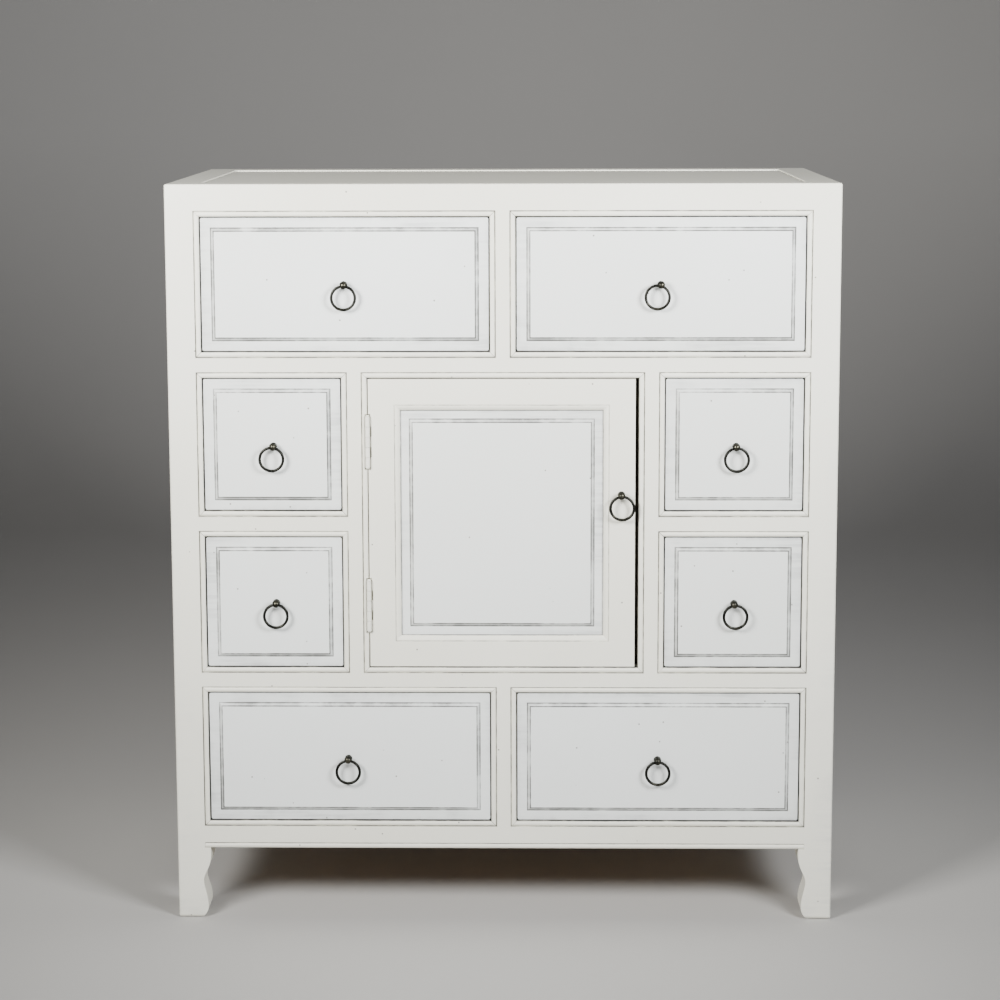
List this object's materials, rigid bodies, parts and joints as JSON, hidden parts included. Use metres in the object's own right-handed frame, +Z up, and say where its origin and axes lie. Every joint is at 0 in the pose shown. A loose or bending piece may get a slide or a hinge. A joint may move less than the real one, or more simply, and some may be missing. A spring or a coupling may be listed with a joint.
{
  "type": "apothecary cabinet",
  "caption": "Free-standing painted wooden cabinet with inset drawers, a central hinged door and swinging ring pulls.",
  "frame": {"origin": "middle of the whole footprint, pulls included, on the floor", "axes": "+X to the right of a person facing the front, +Y towards the back, +Z up"},
  "size_m": [0.8, 0.4132, 0.901],
  "materials": {
    "white_paint": "satin white paint with a grey glaze in the grooves",
    "plain_wood": "oiled bare wood",
    "dark_bronze": "dark antique bronze, worn satin",
    "painted_hinge": "white paint over steel",
    "catch_steel": "plain zinc-plated steel"
  },
  "bodies": {
    "cabinet": {"front_left_leg": "white_paint", "front_right_leg": "white_paint", "rear_left_leg": "white_paint", "rear_right_leg": "white_paint", "top_frame": "white_paint", "top_panel": "white_paint", "side_panels": "white_paint", "back_panel": "plain_wood", "lower_rails": "white_paint", "front_rails": "white_paint", "door_posts": "white_paint", "centre_dividers": "white_paint", "opening_beads": "white_paint", "bottom_board": "plain_wood", "dust_boards": "plain_wood", "partitions": "plain_wood", "drawer_guides": "plain_wood", "door_stops": "plain_wood", "door_shelf": "plain_wood", "door_catch": "catch_steel", "frame_hinge_leaves": "painted_hinge", "hinge_pins": "painted_hinge"},
    "door": {"door_frame": "white_paint", "door_panel": "white_paint", "door_pull": "dark_bronze", "door_hinge_leaves": "painted_hinge", "catch_plate": "catch_steel"},
    "top_left_drawer": {"top_left_drawer_front": "white_paint", "top_left_drawer_box": "plain_wood", "top_left_drawer_pull": "dark_bronze"},
    "top_left_drawer_ring": {"top_left_drawer_ring": "dark_bronze"},
    "upper_left_drawer": {"upper_left_drawer_front": "white_paint", "upper_left_drawer_box": "plain_wood", "upper_left_drawer_pull": "dark_bronze"},
    "upper_left_drawer_ring": {"upper_left_drawer_ring": "dark_bronze"},
    "lower_left_drawer": {"lower_left_drawer_front": "white_paint", "lower_left_drawer_box": "plain_wood", "lower_left_drawer_pull": "dark_bronze"},
    "lower_left_drawer_ring": {"lower_left_drawer_ring": "dark_bronze"},
    "bottom_left_drawer": {"bottom_left_drawer_front": "white_paint", "bottom_left_drawer_box": "plain_wood", "bottom_left_drawer_pull": "dark_bronze"},
    "bottom_left_drawer_ring": {"bottom_left_drawer_ring": "dark_bronze"},
    "top_right_drawer": {"top_right_drawer_front": "white_paint", "top_right_drawer_box": "plain_wood", "top_right_drawer_pull": "dark_bronze"},
    "top_right_drawer_ring": {"top_right_drawer_ring": "dark_bronze"},
    "upper_right_drawer": {"upper_right_drawer_front": "white_paint", "upper_right_drawer_box": "plain_wood", "upper_right_drawer_pull": "dark_bronze"},
    "upper_right_drawer_ring": {"upper_right_drawer_ring": "dark_bronze"},
    "lower_right_drawer": {"lower_right_drawer_front": "white_paint", "lower_right_drawer_box": "plain_wood", "lower_right_drawer_pull": "dark_bronze"},
    "lower_right_drawer_ring": {"lower_right_drawer_ring": "dark_bronze"},
    "bottom_right_drawer": {"bottom_right_drawer_front": "white_paint", "bottom_right_drawer_box": "plain_wood", "bottom_right_drawer_pull": "dark_bronze"},
    "bottom_right_drawer_ring": {"bottom_right_drawer_ring": "dark_bronze"},
    "door_ring": {"door_ring": "dark_bronze"}
  },
  "joints": [
    {"name": "top_left_drawer_slide", "type": "slide", "parent": "cabinet", "child": "top_left_drawer", "axis": [0, -1, 0], "range_m": [0, 0.24]},
    {"name": "top_left_drawer_ring_swing", "type": "hinge", "parent": "top_left_drawer", "child": "top_left_drawer_ring", "pos_m": [-0.1884, -0.20195, 0.78055], "axis": [-0.9998, 0, 0.0175], "range_deg": [-12, 160]},
    {"name": "upper_left_drawer_slide", "type": "slide", "parent": "cabinet", "child": "upper_left_drawer", "axis": [0, -1, 0], "range_m": [0, 0.24]},
    {"name": "upper_left_drawer_ring_swing", "type": "hinge", "parent": "upper_left_drawer", "child": "upper_left_drawer_ring", "pos_m": [-0.2749, -0.20195, 0.58706], "axis": [-0.9925, 0, 0.1219], "range_deg": [-12, 160]},
    {"name": "lower_left_drawer_slide", "type": "slide", "parent": "cabinet", "child": "lower_left_drawer", "axis": [0, -1, 0], "range_m": [0, 0.24]},
    {"name": "lower_left_drawer_ring_swing", "type": "hinge", "parent": "lower_left_drawer", "child": "lower_left_drawer_ring", "pos_m": [-0.27387, -0.20195, 0.39555], "axis": [-0.9998, 0, 0.0175], "range_deg": [-12, 160]},
    {"name": "bottom_left_drawer_slide", "type": "slide", "parent": "cabinet", "child": "bottom_left_drawer", "axis": [0, -1, 0], "range_m": [0, 0.24]},
    {"name": "bottom_left_drawer_ring_swing", "type": "hinge", "parent": "bottom_left_drawer", "child": "bottom_left_drawer_ring", "pos_m": [-0.18898, -0.20195, 0.20185], "axis": [-1, 0, 0], "range_deg": [-12, 160]},
    {"name": "top_right_drawer_slide", "type": "slide", "parent": "cabinet", "child": "top_right_drawer", "axis": [0, -1, 0], "range_m": [0, 0.24]},
    {"name": "top_right_drawer_ring_swing", "type": "hinge", "parent": "top_right_drawer", "child": "top_right_drawer_ring", "pos_m": [0.18704, -0.20195, 0.7806], "axis": [-0.9613, 0, 0.2756], "range_deg": [-12, 160]},
    {"name": "upper_right_drawer_slide", "type": "slide", "parent": "cabinet", "child": "upper_right_drawer", "axis": [0, -1, 0], "range_m": [0, 0.24]},
    {"name": "upper_right_drawer_ring_swing", "type": "hinge", "parent": "upper_right_drawer", "child": "upper_right_drawer_ring", "pos_m": [0.27819, -0.20195, 0.58655], "axis": [-0.9994, 0, -0.0349], "range_deg": [-12, 160]},
    {"name": "lower_right_drawer_slide", "type": "slide", "parent": "cabinet", "child": "lower_right_drawer", "axis": [0, -1, 0], "range_m": [0, 0.24]},
    {"name": "lower_right_drawer_ring_swing", "type": "hinge", "parent": "lower_right_drawer", "child": "lower_right_drawer_ring", "pos_m": [0.27758, -0.20195, 0.39506], "axis": [-0.9945, 0, -0.1045], "range_deg": [-12, 160]},
    {"name": "bottom_right_drawer_slide", "type": "slide", "parent": "cabinet", "child": "bottom_right_drawer", "axis": [0, -1, 0], "range_m": [0, 0.24]},
    {"name": "bottom_right_drawer_ring_swing", "type": "hinge", "parent": "bottom_right_drawer", "child": "bottom_right_drawer_ring", "pos_m": [0.1867, -0.20195, 0.20085], "axis": [-0.9998, 0, -0.0175], "range_deg": [-12, 160]},
    {"name": "door_hinge", "type": "hinge", "parent": "cabinet", "child": "door", "pos_m": [-0.1619, -0.19465, 0.493], "axis": [0, 0, 1], "range_deg": [-165, 0]},
    {"name": "door_ring_swing", "type": "hinge", "parent": "door", "child": "door_ring", "pos_m": [0.14176, -0.20095, 0.5276], "axis": [-0.9986, 0, -0.0523], "range_deg": [-12, 160]}
  ]
}
